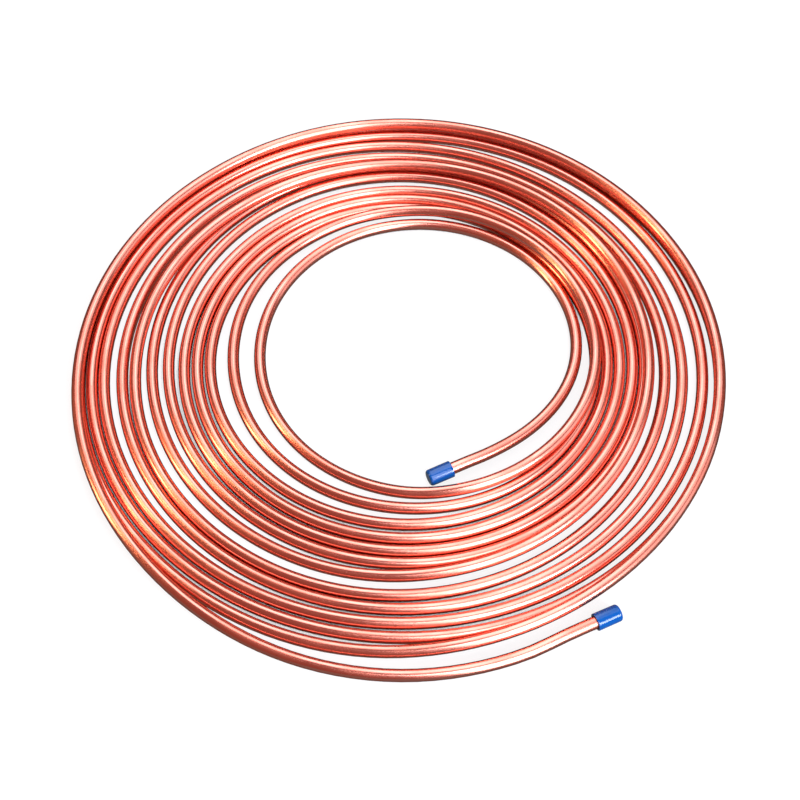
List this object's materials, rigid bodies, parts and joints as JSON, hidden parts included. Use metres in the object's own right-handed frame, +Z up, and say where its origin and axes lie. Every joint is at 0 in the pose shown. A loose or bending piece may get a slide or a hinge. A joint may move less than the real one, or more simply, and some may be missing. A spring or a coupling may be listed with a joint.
{
  "type": "copper tube coil",
  "caption": "Loosely wound flat coil of bright soft copper tube, open eye, with a push-on plastic cap on each end.",
  "frame": {"origin": "middle of the coil's footprint, on the floor that it lies on", "axes": "+Z up along the coil's axis; +Y towards the back, away from the side where the outer end lies; +X to the right"},
  "size_m": [0.5296, 0.5298, 0.0193],
  "materials": {
    "copper": "bright drawn soft copper, lightly handled, with fine lines along the tube",
    "cap_plastic": "smooth glossy blue moulded plastic"
  },
  "bodies": {
    "root": {"copper_tube": "copper", "inner_end_cap": "cap_plastic", "outer_end_cap": "cap_plastic"}
  },
  "joints": []
}
